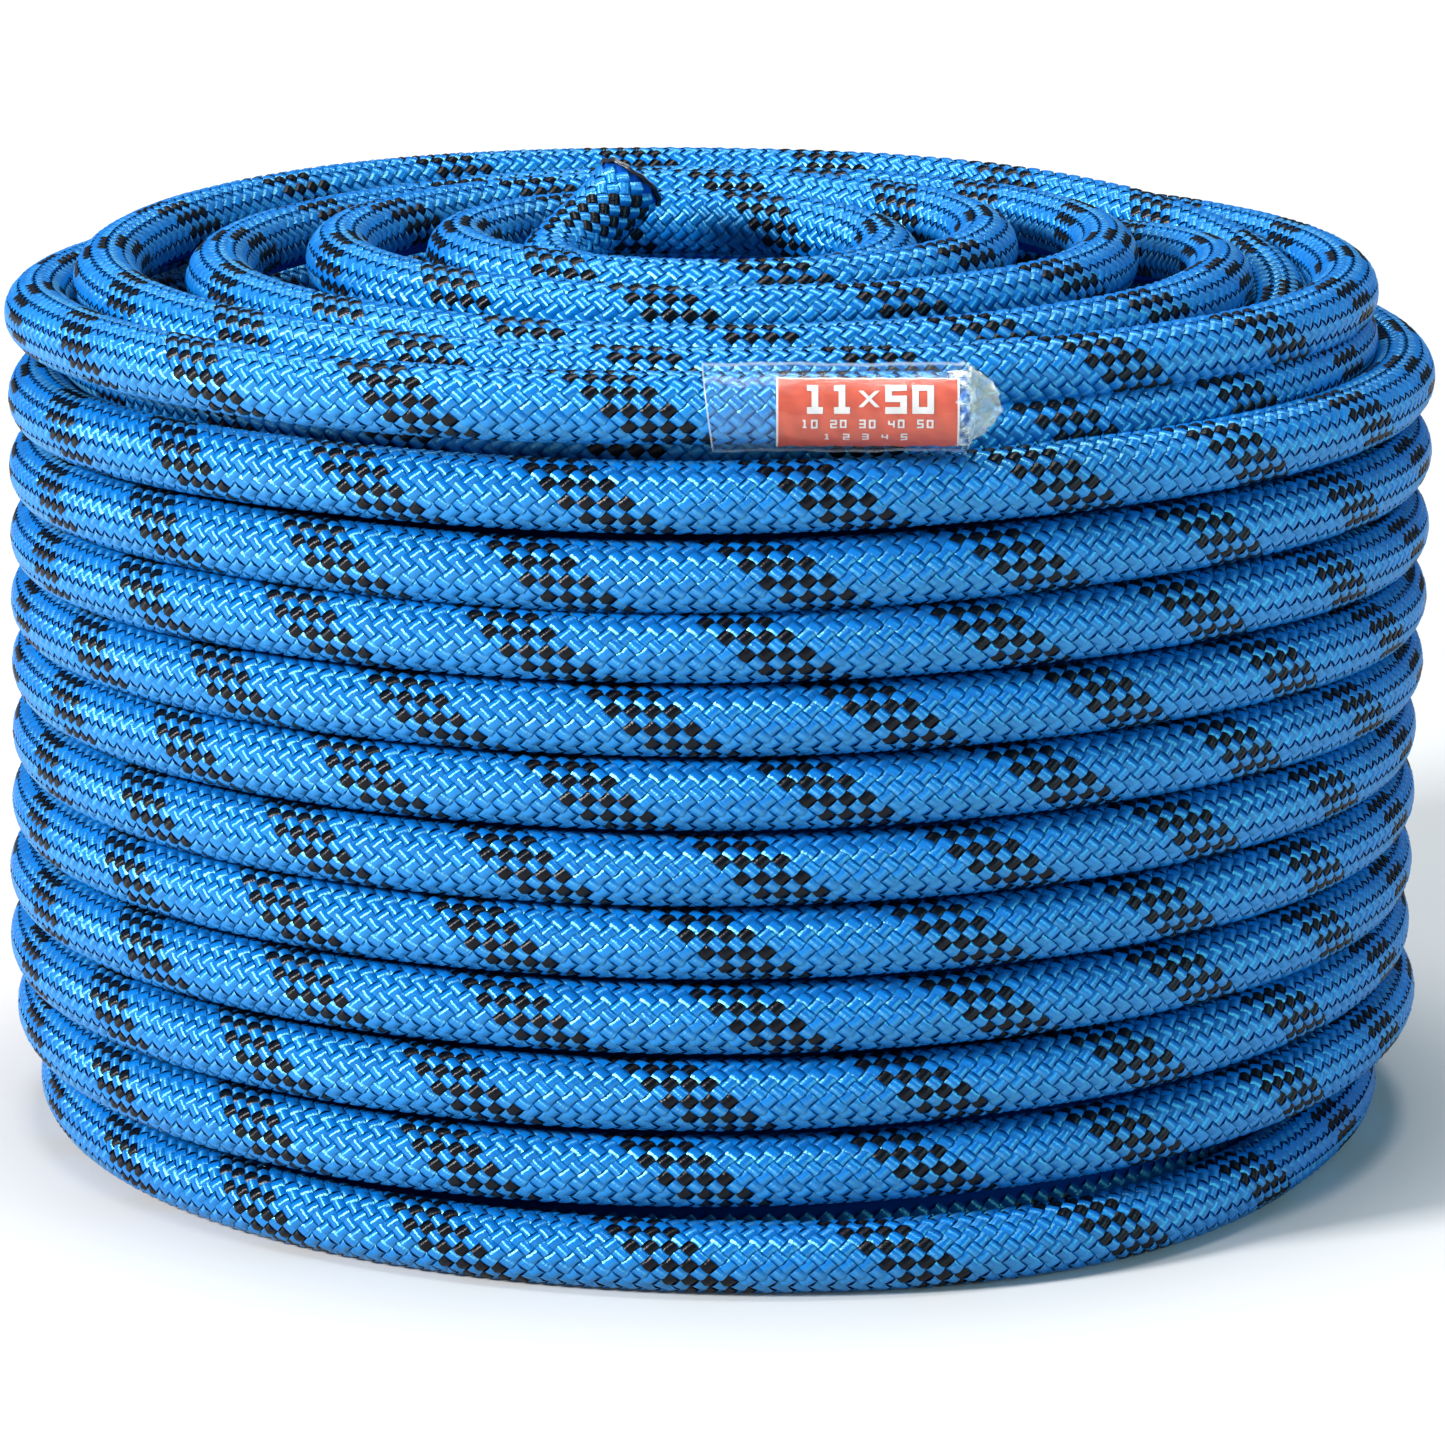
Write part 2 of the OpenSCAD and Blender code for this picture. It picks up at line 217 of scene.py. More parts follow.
kind = np.concatenate([np.full(len(p), k) for k, p in enumerate(parts)])
turn_no = np.concatenate([np.full(len(p), -1.0) if k != OUTER else t3 for k, p in enumerate(parts)])


def along(points):
    return np.concatenate([[0], np.cumsum(np.linalg.norm(np.diff(points, axis=0), axis=1))])


# even steps, softened where one stretch meets the next
FINE = 0.0015
SOFTENED = 0.006
END_KEPT = 0.03                # near its ends the rope's line stays as it is
run_s = along(route)
even = np.arange(0, run_s[-1], FINE)
centre = np.stack([np.interp(even, run_s, route[:, k]) for k in range(3)], 1)
soft = blurred(centre, SOFTENED / FINE)
ends = smooth(np.minimum(even, even[-1] - even) / END_KEPT)[:, None]
centre = centre * (1 - ends) + soft * ends
kind = kind[np.clip(np.searchsorted(run_s, even), 0, len(kind) - 1)]
turn_no = np.interp(even, run_s, turn_no)
creep = np.interp(even, run_s, creep)
S = along(centre)
total = float(S[-1])
print("rope length", round(total, 3))

tangent = np.gradient(centre, axis=0)
tangent /= np.linalg.norm(tangent, axis=1)[:, None]
up = np.array([0, 0, 1.0]) - tangent * tangent[:, 2:3]
up /= np.linalg.norm(up, axis=1)[:, None]
side = np.cross(tangent, up)
# the braid turns a little about the rope's middle on its way along it
spin = np.cumsum(blurred(rng.normal(0, 1, len(even)), 0.3 / FINE)) * 0.004


def at(s, table):
    """A table's columns at places along the rope."""
    flat = s.ravel()
    columns = [np.interp(flat, S, table[:, k]) for k in range(table.shape[1])]
    return np.stack(columns, 1).reshape(s.shape + (-1,))


def flare(s):
    """The rope spreads at the cut of its tail and draws in where the label end was melted."""
    return 1 + 0.10 * smooth(1 - (total - s) / (0.9 * D)) - 0.06 * smooth(1 - s / (0.35 * D))


def on_rope(s, angle, depth):
    """Points at places along the rope, angles about it in degrees and depths below its surface."""
    c, u, v = at(s, centre), at(s, up), at(s, side)
    a = np.radians(angle) + np.interp(s.ravel(), S, spin).reshape(s.shape)
    out = np.cos(a)[..., None] * u + np.sin(a)[..., None] * v
    return c + out * (D / 2 * flare(s) - depth)[..., None]


# ---------------------------------------------------------------- braid: 24 carriers, one over one
H = 0.130 * D                  # half a pick's spacing along the rope
HALF = 15.0                    # the same round it, in degrees
CARRIERS = 12                  # of each hand
BLACK_CARRIERS = 4             # of the right-handed ones
cell_no = S / H + creep
K = np.arange(int(math.ceil(cell_no[0])) + 1, int(cell_no[-1]))
Kc, j = np.meshgrid(K, np.arange(CARRIERS), indexing="ij")
M = (Kc % 2) + 2 * j
cs, ca = np.interp(Kc, cell_no, S), M * HALF
right_handed = Kc % 2 == 0
strand = np.where(right_handed, (Kc - M) // 2, (Kc + M) // 2) % CARRIERS
c = at(cs, centre)
u, v = at(cs, up), at(cs, side)
arad = np.radians(ca) + np.interp(cs.ravel(), S, spin).reshape(cs.shape)
normal = np.cos(arad)[..., None] * u + np.sin(arad)[..., None] * v
radial = c[..., :2] / np.linalg.norm(c[..., :2], axis=-1)[..., None]
n_out = (normal[..., :2] * radial).sum(-1)
n_up = normal[..., 2]
idx = np.clip(np.searchsorted(S, cs), 0, len(S) - 1)
sec, tn = kind[idx], turn_no[idx]
height = c[..., 2] / D
rad = np.linalg.norm(c[..., :2], axis=-1) / D
# picks are made only where the rope can be seen; the plain tube under them runs through everywhere
on_floor = (sec == OUTER) & (tn < 0.2)
show = (sec == LABEL_END) | (sec == TAIL)
show |= (sec == LABEL_TURNS) & ((n_up > -0.4) | (n_out > 0)) & (height > 11.3)
show |= (sec == INNER) & (height > 10.2) & (n_up > 0.1)
show |= (sec == INNER) & (rad < 2.6) & (n_out < 0.1)
show |= on_floor & (n_up < 0.3)
show |= (sec == OUTER) & (tn >= 0) & (n_out > -0.35)
show |= (sec == OUTER) & (tn >= 0) & (tn < 1) & (n_up < 0.2)
show |= (sec == OUTER) & (tn > 9.9) & (n_up > -0.1)
show |= (sec == TOP) & ((n_up > -0.5) | ((rad < 4.6) & (n_out < 0.3)))
print("picks", int(show.sum()))

blocks = []                    # vertices, faces, uv, tiles, material
BLUES, BLACKS = 4, 2           # shades of each; the rope's materials are the blues, the blacks and the darker groove blue, painted shade between the picks
GROOVE_PAINTED_SHADE = BLUES + BLACKS
PICK_ARC = math.pi / 2 * 0.86  # how far round its crown a pick's cross points go
TILES = 16                     # tiles along each side of the bake map, one picked at random for each pick


def picks(mask, na, nb):
    """Pillows for the picks in a mask, each na by nb faces."""
    s0, a0, rh, st = cs[mask], ca[mask], right_handed[mask], strand[mask]
    n = len(s0)
    a = np.linspace(-1, 1, na + 1)
    b = np.sin(np.linspace(-1, 1, nb + 1) * PICK_ARC) / math.sin(PICK_ARC)
    ga, gb = [g.ravel() for g in np.meshgrid(a, b, indexing="ij")]
    way = np.where(rh, 1.0, -1.0)[:, None]
    reach = 1.24
    da, db = ga[None] * reach, gb[None] * (0.985 - 0.10 * np.abs(ga[None]) ** 2)
    s = s0[:, None] + (da + db) * H / 2
    ang = a0[:, None] + way * (da - db) * HALF / 2
    lift = rng.normal(0, 0.00002, n)[:, None]
    depth = 0.00046 * (1 - np.cos(da * math.pi / 2 * 0.98)) + 0.00007 * np.abs(gb[None]) ** 4 - lift
    co = on_rope(s, ang, depth)
    grid = np.arange((na + 1) * (nb + 1)).reshape(na + 1, nb + 1)
    quad = np.stack([grid[:-1, :-1], grid[1:, :-1], grid[1:, 1:], grid[:-1, 1:]], -1).reshape(-1, 4)
    faces = quad[None] + (np.arange(n) * len(ga))[:, None, None]
    # right-handed picks face out as listed, left-handed ones are turned over
    faces = np.where(rh[:, None, None], faces[..., ::-1], faces)
    uv = np.stack([(ga + 1) / 2, (gb + 1) / 2], -1)
    uv = np.broadcast_to(uv[None], (n,) + uv.shape)
    tile = rng.integers(0, TILES * (TILES - 1), n)
    corner = np.stack([tile % TILES, tile // TILES], -1)[:, None] / TILES
    tiled = corner + (uv * 0.9 + 0.05) / TILES
    dark = rh & (st < BLACK_CARRIERS)
    mat = np.where(dark, BLUES + rng.integers(0, BLACKS, n), rng.integers(0, BLUES, n))
    mat = np.repeat(mat, len(quad))
    blocks.append((co.reshape(-1, 3), faces.reshape(-1, 4), uv.reshape(-1, 2), tiled.reshape(-1, 2), mat))


picks(show & ~on_floor, 4, 3)
picks(show & on_floor, 2, 2)


def core_tube(s, sides, depth):
    """The plain tube that shows between picks, in a darker blue painted as shade, and stands for the hidden
    turns.
    """
    ang = np.arange(sides) * 360 / sides
    sg, ag = np.meshgrid(s, ang, indexing="ij")
    co = on_rope(sg, ag, np.full(sg.shape, depth)).reshape(-1, 3)
    n = len(s)
    i, k = np.meshgrid(np.arange(n - 1), np.arange(sides), indexing="ij")
    a, b = i * sides + k, i * sides + (k + 1) % sides
    faces = np.stack([a, b, b + sides, a + sides], -1).reshape(-1, 4)[:, ::-1]
    return co, faces


def ring_places():
    """Rings close together in the visible stretches and further apart inside the coil."""
    gap = np.where((kind == INNER) & (centre[:, 2] < 10.8 * D), 0.012, 0.0035)
    rad_here = np.linalg.norm(centre[:, :2], axis=1)
    gap = np.minimum(gap, rad_here * 0.27)
    count = np.concatenate([[0], np.cumsum(np.diff(S) / gap[:-1])])
    return np.interp(np.arange(0, count[-1], 1.0), count, S)


TUBE_SIDES = 10
TUBE_DEPTH = 0.00062
rings = ring_places()
rings = np.concatenate([rings[rings < total - 0.001], [total]])
co, faces = core_tube(rings, TUBE_SIDES, TUBE_DEPTH)
cap0 = np.arange(TUBE_SIDES)
cap1 = (len(rings) - 1) * TUBE_SIDES + np.arange(TUBE_SIDES)
tube_uv = np.tile([[0.5, 0.97]], (len(co), 1)) + rng.uniform(-0.003, 0.003, (len(co), 2))
blocks.append((co, faces, tube_uv, tube_uv, np.full(len(faces), GROOVE_PAINTED_SHADE)))


def build(name, blocks, materials, ngons=()):
    """One mesh from blocks of quads with two UV maps, and closing faces given as (ring, material)."""
    co = np.concatenate([b[0] for b in blocks])
    start = np.cumsum([0] + [len(b[0]) for b in blocks])
    faces = np.concatenate([b[1] + s for b, s in zip(blocks, start)])
    uv = np.concatenate([b[2] for b in blocks])
    tiled = np.concatenate([b[3] for b in blocks])
    mat = np.concatenate([b[4] for b in blocks])
    loops = faces.ravel()
    starts = np.arange(len(faces)) * 4
    for ring, m in ngons:
        starts = np.append(starts, len(loops))
        loops = np.concatenate([loops, ring])
        mat = np.append(mat, m)
    me = bpy.data.meshes.new(name)
    me.vertices.add(len(co))
    me.vertices.foreach_set("co", co.astype(np.float32).ravel())
    me.loops.add(len(loops))
    me.loops.foreach_set("vertex_index", loops.astype(np.int32))
    me.polygons.add(len(starts))
    me.polygons.foreach_set("loop_start", starts.astype(np.int32))
    me.polygons.foreach_set("material_index", mat.astype(np.int32))
    me.polygons.foreach_set("use_smooth", np.ones(len(starts), bool))
    me.uv_layers.new(name="Yarn").data.foreach_set("uv", uv[loops].astype(np.float32).ravel())
    me.uv_layers.new(name="OFBake").data.foreach_set("uv", tiled[loops].astype(np.float32).ravel())
    me.update(calc_edges=True)
    for m in materials:
        me.materials.append(m)
    ob = bpy.data.objects.new(name, me)
    scene.collection.objects.link(ob)
    return ob


# ---------------------------------------------------------------- materials
def material(name, base, roughness, **inputs):
    """A Principled material, its node tree and its shader."""
    m = bpy.data.materials.new(name)
    m.use_nodes = True
    p = m.node_tree.nodes["Principled BSDF"]
    p.inputs["Base Color"].default_value = (*base, 1)
    p.inputs["Roughness"].default_value = roughness
    for key, value in inputs.items():
        p.inputs[key.replace("_", " ")].default_value = value
    return m, m.node_tree, p


def yarn(name, base, roughness, tint, sheen, spec, aniso=0.95, ior=1.5):
    """Bundled filaments: gloss stretched across them, and fine lines along each pick, by its tile."""
    m, nt, p = material(name, base, roughness)
    p.inputs["Specular Tint"].default_value = (*tint, 1)
    p.inputs["Specular IOR Level"].default_value = spec
    p.inputs["Sheen Weight"].default_value = sheen
    p.inputs["Sheen Roughness"].default_value = 0.4
    p.inputs["Sheen Tint"].default_value = (*tint, 1)
    p.inputs["IOR"].default_value = ior
    p.inputs["Anisotropic"].default_value = aniso
    p.inputs["Anisotropic Rotation"].default_value = 0.25
    tan = nt.nodes.new("ShaderNodeTangent")
    tan.direction_type, tan.uv_map = "UV_MAP", "Yarn"
    nt.links.new(tan.outputs[0], p.inputs["Tangent"])
    uvn = nt.nodes.new("ShaderNodeUVMap")
    uvn.uv_map = "OFBake"
    mapping = nt.nodes.new("ShaderNodeMapping")
    mapping.inputs["Scale"].default_value = (20.0, 64.0, 1.0)
    noise = nt.nodes.new("ShaderNodeTexNoise")
    noise.inputs["Scale"].default_value = 1.6
    noise.inputs["Detail"].default_value = 2.0
    nt.links.new(uvn.outputs[0], mapping.inputs["Vector"])
    nt.links.new(mapping.outputs[0], noise.inputs["Vector"])
    bmp = nt.nodes.new("ShaderNodeBump")
    bmp.inputs["Strength"].default_value = 0.75
    bmp.inputs["Distance"].default_value = 0.00018
    nt.links.new(noise.outputs["Fac"], bmp.inputs["Height"])
    nt.links.new(bmp.outputs[0], p.inputs["Normal"])
    return m


CYAN = (0.33, 1.0, 0.86)
WARM_GREY = (0.90, 0.84, 0.82)
blue_looks = [((0.001, 0.110, 0.41), 0.31), ((0.001, 0.118, 0.43), 0.34),
              ((0.001, 0.104, 0.39), 0.32), ((0.001, 0.128, 0.46), 0.35)]
black_looks = [(0.0022, 0.0034, 0.006), (0.0018, 0.0028, 0.005)]
blues = [yarn("sheath_blue_%d" % i, base, rough, CYAN, 0.03, spec=0.55, ior=2.0)
         for i, (base, rough) in enumerate(blue_looks)]
blacks = [yarn("sheath_black_%d" % i, base, 0.30, WARM_GREY, 0.0, spec=0.22)
          for i, base in enumerate(black_looks)]
# the tube under the picks: a darker, duller blue, painted shade for the gaps between picks
groove_painted_shade = yarn("sheath_groove_painted_shade", (0.001, 0.050, 0.30), 0.75, CYAN, 0.0, spec=0.1, aniso=0.0)

tube_start = sum(len(b[0]) for b in blocks[:-1])
rope = build("rope", blocks, blues + blacks + [groove_painted_shade],
             ngons=[(cap0 + tube_start, GROOVE_PAINTED_SHADE), (cap1[::-1] + tube_start, GROOVE_PAINTED_SHADE)])
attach(rope, "root")
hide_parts("outer_turns", "inner_turns", "label_turns", "top_turns", "label_end_sheath", "tail_sheath")

# ---------------------------------------------------------------- helpers for the small pieces
def grid(co, closed=False):
    """Points, quads and the quads' rows and columns from a (rows, columns, 3) array of points."""
    rows, cols = co.shape[:2]
    i, k = [g.ravel() for g in np.meshgrid(np.arange(rows - 1), np.arange(cols if closed else cols - 1),
                                           indexing="ij")]
    k2 = (k + 1) % cols
    f = np.stack([i * cols + k, (i + 1) * cols + k, (i + 1) * cols + k2, i * cols + k2], -1)
    return co.reshape(-1, 3), f, (i, k)


def piece(name, parts, mats, node=None, smooth_faces=True):
    """One named piece from (points, faces, material index) parts."""
    me = bpy.data.meshes.new(name)
    verts, faces, mat = [], [], []
    for co, f, m in parts:
        base = len(verts)
        verts += [tuple(map(float, c)) for c in co]
        faces += [tuple(int(v) + base for v in q) for q in f]
        mat += [int(v) for v in (m if np.ndim(m) else [m] * len(f))]
    me.from_pydata(verts, [], faces)
    for m in mats:
        me.materials.append(m)
    me.polygons.foreach_set("material_index", mat)
    me.polygons.foreach_set("use_smooth", [smooth_faces] * len(faces))
    me.update()
    ob = bpy.data.objects.new(name, me)
    scene.collection.objects.link(ob)
    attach(ob, "root")
    if node:
        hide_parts(*([node] if isinstance(node, str) else node))
    return ob


def fan(ring, centre_index, flip=False):
    """Triangles from a ring of points to one point."""
    r = list(ring)
    tri = [(r[k], r[(k + 1) % len(r)], centre_index) for k in range(len(r))]
    return [t[::-1] for t in tri] if flip else tri


AXIS = np.array([0, LABEL_Y, float(label_turns[0, 2])])      # the label end's axis, along X


def round_label_end(x, angle, r):
    """Points round the label end; angle 0 faces the front, 90 up."""
    a = np.radians(angle)
    return np.stack([x * np.ones_like(a), AXIS[1] - r * np.cos(a), AXIS[2] + r * np.sin(a)], -1)


def noisy(nt, scale, detail=4.0, stretch=None):
    """Noise in the piece's own space."""
    tex = nt.nodes.new("ShaderNodeTexNoise")
    tex.inputs["Scale"].default_value = scale
    tex.inputs["Detail"].default_value = detail
    co = nt.nodes.new("ShaderNodeTexCoord")
    if stretch is None:
        nt.links.new(co.outputs["Object"], tex.inputs["Vector"])
    else:
        m = nt.nodes.new("ShaderNodeMapping")
        m.inputs["Scale"].default_value = stretch
        nt.links.new(co.outputs["Object"], m.inputs["Vector"])
        nt.links.new(m.outputs[0], tex.inputs["Vector"])
    return tex


def ramp(nt, source, stops):
    """Colours by (place, colour) stops."""
    r = nt.nodes.new("ShaderNodeValToRGB")
    while len(r.color_ramp.elements) < len(stops):
        r.color_ramp.elements.new(0.5)
    for e, (pos, col) in zip(r.color_ramp.elements, stops):
        e.position, e.color = pos, (*col, 1)
    nt.links.new(source, r.inputs["Fac"])
    return r


def bumped(nt, p, source, strength, distance):
    b = nt.nodes.new("ShaderNodeBump")
    b.inputs["Strength"].default_value = strength
    b.inputs["Distance"].default_value = distance
    nt.links.new(source, b.inputs["Height"])
    nt.links.new(b.outputs[0], p.inputs["Normal"])


def rough_by(nt, p, source, low, high):
    m = nt.nodes.new("ShaderNodeMapRange")
    m.inputs["To Min"].default_value, m.inputs["To Max"].default_value = low, high
    nt.links.new(source, m.inputs["Value"])
    nt.links.new(m.outputs[0], p.inputs["Roughness"])


def film(name, alpha, base, rough, ior):
    """Crumpled clear plastic."""
    m, nt, p = material(name, base, rough, Alpha=alpha, Specular_IOR_Level=1.0, IOR=ior)
    n = noisy(nt, 420, 5, (0.5, 1, 1))
    bumped(nt, p, n.outputs["Fac"], 0.5, 0.0004)
    rough_by(nt, p, n.outputs["Fac"], rough * 0.5, rough * 1.8)
    return m


# the paper label: a strip from above the front down round the rope, with a white edge
LABEL_X = (0.0079, 0.0349)
LABEL_TOP, LABEL_WRAP = 58.0, 273.0
paper, nt, p = material("label_orange", (0.40, 0.034, 0.003), 0.5)
n = noisy(nt, 900, 6, (0.4, 1, 1))
r = ramp(nt, n.outputs["Fac"], [(0.3, (0.355, 0.024, 0.002)), (0.7, (0.45, 0.048, 0.006))])
nt.links.new(r.outputs[0], p.inputs["Base Color"])
bumped(nt, p, n.outputs["Fac"], 0.2, 0.0001)
ink, nt, p = material("label_white", (0.50, 0.47, 0.455), 0.55)
n = noisy(nt, 1200, 6)
bumped(nt, p, n.outputs["Fac"], 0.2, 0.0001)
rough_by(nt, p, n.outputs["Fac"], 0.45, 0.65)
PAPER_R = D / 2 + 0.00018


def paper_r(x, angle):
    """The paper rides over the picks and lifts slightly at its edges."""
    wave = 0.00005 * np.sin(x * 2100 + angle * 0.05) + 0.00004 * np.sin(angle * 0.21 + x * 900)
    lift = 0.00022 * smooth(1 - (LABEL_TOP - angle) / 10) + 0.0001 * smooth(1 - (x - LABEL_X[0]) / 0.002)
    return PAPER_R + wave + lift


def label_sheet(nx, na):
    """The whole strip, nx by na quads."""
    xs, an = np.linspace(*LABEL_X, nx + 1), np.linspace(LABEL_TOP, LABEL_TOP - LABEL_WRAP, na + 1)
    gx, ga = np.meshgrid(xs, an, indexing="ij")
    return grid(round_label_end(gx, ga, paper_r(gx, ga)))


def label_patch(corners, lift=0.00009, n=8):
    """A printed shape: a four-sided patch given as (mm along, degrees round) corners."""
    c = np.array(corners, float)
    u, v = np.meshgrid(np.linspace(0, 1, n + 1), np.linspace(0, 1, n + 1), indexing="ij")
    pt = (c[0] * ((1 - u) * (1 - v))[..., None] + c[1] * (u * (1 - v))[..., None]
          + c[2] * (u * v)[..., None] + c[3] * ((1 - u) * v)[..., None])
    x, a = pt[..., 0] / 1000, pt[..., 1]
    return grid(round_label_end(x, a, paper_r(x, a) + lift))


DEG = 360 / (2 * math.pi * 5.7)          # degrees round the label for each millimetre


def bar(x, y, w, h):
    """An upright bar by its left, middle height, width and height in mm; y is 0 at the rope's very front."""
    high, low = (y + h / 2) * DEG, (y - h / 2) * DEG
    return [(x, high), (x + w, high), (x + w, low), (x, low)]


# the bars of each figure: top, upper left, upper right, middle, lower left, lower right, bottom
FIGURES = {"2": "TRMlB", "3": "TRMrB", "4": "LRMr", "5": "TLMrB"}


def figure_bars(figure, x, y, w, h, t):
    """A plain block figure, its left edge at x and its middle at height y."""
    if figure == "1":
        return [bar(x + w / 2 - t / 2, y, t, h), bar(x + w / 2 - t * 1.2, y - h / 2 + t / 2, t * 2.4, t),
                bar(x + w / 2 - t * 1.2, y + h / 2 - t / 2, t * 0.8, t)]
    if figure == "x":
        reach, cx, half = h * 0.28, x + w / 2, t * 0.35
        high, low = (y + reach) * DEG, (y - reach) * DEG
        return [[(cx + dx * reach - half, high), (cx + dx * reach + half, high),
                 (cx - dx * reach + half, low), (cx - dx * reach - half, low)] for dx in (-1, 1)]
    side_h = h / 2 - t * 1.0
    places = {"T": (x, y + h / 2 - t / 2, w, t), "M": (x, y, w, t), "B": (x, y - h / 2 + t / 2, w, t),
              "L": (x, y + h / 4, t, side_h), "R": (x + w - t, y + h / 4, t, side_h),
              "l": (x, y - h / 4, t, side_h), "r": (x + w - t, y - h / 4, t, side_h)}
    if figure == "0":
        places["L"] = places["l"] = (x, y, t, h - 2 * t)
        places["R"] = places["r"] = (x + w - t, y, t, h - 2 * t)
        return [bar(*places[key]) for key in "TLRB"]
    return [bar(*places[key]) for key in FIGURES[figure]]


def figure_row(text, x, y, w, h, t, gap):
    """Figures side by side from x, all at height y."""
    bars = []
    for figure in text:
        if figure != " ":
            bars += figure_bars(figure, x, y, w, h, t)
        x += w + gap
    return bars


LABEL_QUADS = (90, 132)
PAPER_THICKNESS = 0.00012
co, f, (i, k) = label_sheet(*LABEL_QUADS)
edge = (i < 1) | (i >= LABEL_QUADS[0] - 1) | (k < 1)
label_parts = [(co, f[:, ::-1], edge.astype(int))]
inside = co.copy()
inside[:, 1:] = AXIS[1:] + (co[:, 1:] - AXIS[1:]) * (1 - PAPER_THICKNESS / PAPER_R)
label_parts.append((inside, f, 1))
printed = figure_row("11x50", 12.0, 2.32, 3.2, 4.4, 0.98, 0.78)
printed += figure_row("10 20 30 40 50", 11.6, -1.45, 0.98, 1.35, 0.26, 0.44)
printed += figure_row("1 2 3 4 5", 14.9, -3.85, 0.98, 1.35, 0.26, 0.44)
for shape in printed:
    co, f, _ = label_patch(shape)
    label_parts.append((co, f[:, ::-1], 1))
piece("label_paper", label_parts, [paper, ink], "paper_label")

# the melted label end: a lumpy plug of fused yarn, and loose filaments round it
melt, nt, p = material("melted_undyed", (0.62, 0.66, 0.66), 0.35, Subsurface_Weight=0.0)
n = noisy(nt, 520, 5)
r = ramp(nt, n.outputs["Fac"], [(0.36, (0.02, 0.12, 0.42)), (0.47, (0.30, 0.42, 0.58)),
                                (0.56, (0.74, 0.74, 0.70)), (0.75, (0.86, 0.85, 0.80))])
nt.links.new(r.outputs[0], p.inputs["Base Color"])
bumped(nt, p, n.outputs["Fac"], 0.7, 0.0005)
# places along X in metres, and radii in mm
plug = np.array([(0.0335, 4.75), (0.0343, 5.25), (0.0352, 5.45), (0.0361, 5.2), (0.0368, 4.3),
                 (0.0371, 2.8), (0.0372, 1.2)])
PLUG_SIDES = 48
ang = np.arange(PLUG_SIDES) * 360 / PLUG_SIDES
gx, ga = np.meshgrid(plug[:, 0], ang, indexing="ij")
gr = plug[:, 1][:, None] * np.ones_like(ga)
lump = (np.sin(np.radians(ga * 5 + 40)) + np.sin(np.radians(ga * 9) + gx * 4000)
        + np.sin(np.radians(ga * 14 + 70) - gx * 3000))
gr = (gr + 0.16 * lump * smooth((gr - 1) / 3)) / 1000
gx = gx + 0.00022 * np.sin(np.radians(ga * 4) + gr * 2500) + 0.00015 * np.sin(np.radians(ga * 11))
co, f, _ = grid(round_label_end(gx, ga, gr), closed=True)
tip = np.concatenate([co, [[0.0373, AXIS[1], AXIS[2]], [0.0335, AXIS[1], AXIS[2]]]])
faces = ([tuple(q) for q in f] + fan(range(len(co) - PLUG_SIDES, len(co)), len(co))
         + fan(range(PLUG_SIDES), len(co) + 1, True))
fuzz = [(tip, faces, 0)]
LOOSE_FILAMENTS = 110
for _ in range(LOOSE_FILAMENTS):
    a0, x0 = rng.uniform(0, 360), rng.uniform(0.0330, 0.0350)
    t = np.linspace(0, 1, 6)
    x = x0 + t * rng.uniform(0.0012, 0.0026)
    r = 0.0053 + 0.00035 * np.sin(t * math.pi) * rng.uniform(0.4, 1.2) - 0.0002 * t
    a = a0 + t * rng.uniform(-22, 22) + 5 * np.sin(t * 6 + a0)
    line = round_label_end(x, a, r)
    w = rng.uniform(0.00007, 0.00014)
    tri = np.arange(3) * 120
    off = np.stack([np.zeros(3), np.cos(np.radians(tri)), np.sin(np.radians(tri))], -1) * w
    co, f, _ = grid(line[:, None] + off[None], closed=True)
    fuzz.append((co, f, 0))
piece("label_end_melt", fuzz, [melt], "label_end_melted_tip")

# the clear sleeve: a slanted mouth at the left, shrunk over the rope, crumpled and pinched shut at the right
clear = film("film_clear", 0.026, (0.62, 0.70, 0.76), 0.14, 2.4)
milky = film("film_milky", 0.34, (0.50, 0.51, 0.40), 0.28, 1.8)
# paler, less clear film for the fold lines and the cut edge, partly a real crease and partly painted sheen of
# the film seen edge-on; also the streaks of the pinched end
crease_and_edge_sheen = film("film_crease_and_edge_sheen", 0.24, (0.62, 0.70, 0.76), 0.22, 1.9)
CLEAR, MILKY, CREASE_AND_EDGE_SHEEN = range(3)
SLEEVE_RINGS, SLEEVE_SIDES = 76, 72
SLEEVE_X = (-0.0023, 0.0414)
SLEEVE_R = 0.00632
FILM_THICKNESS = 0.00016
MILKY_FROM_X = 0.0362
run = np.concatenate([[0], np.linspace(0.006, 0.83, 39), np.linspace(0.84, 1, SLEEVE_RINGS - 40)])
ang = np.arange(SLEEVE_SIDES) * 360 / SLEEVE_SIDES
gs, ga = np.meshgrid(run, ang, indexing="ij")
forward, above = np.cos(np.radians(ga)), np.sin(np.radians(ga))
mouth = -0.0008 * above * (1 - smooth(gs / 0.5))
gx = SLEEVE_X[0] + (SLEEVE_X[1] - SLEEVE_X[0]) * gs + mouth
close = smooth((gx - 0.0352) / 0.0060)
close_h = smooth((gx - 0.0380) / 0.0034)
r_tube = (SLEEVE_R + 0.0001 * np.sin(np.radians(ga * 3) + gx * 300)
          + 0.00006 * np.sin(np.radians(ga * 7) - gx * 900))
# the flat tube's two fold lines stand up as thin ridges
r_tube += (0.00035 * np.exp(-((ga - 100) / 3) ** 2) + 0.0002 * np.exp(-((ga - 280) / 3) ** 2)) * (1 - close)
folds = (np.sin(np.radians(ga * 6) + gx * 1500) + np.sin(np.radians(ga * 11 + 50) - gx * 2300)
         + 0.7 * np.sin(np.radians(ga * 17) + gx * 3100))
crumple = smooth((gx - 0.0338) / 0.0035)
r_here = r_tube + 0.00028 * folds * crumple * (1 - 0.5 * close)
half_t = r_here * (1 - close) + 0.0006 * close
half_h = r_here * (1 - 0.14 * close_h)
wobble = (0.0006 * np.sin(above * 7 + gx * 350) + 0.0004 * np.sin(above * 15 - gx * 500)) * close
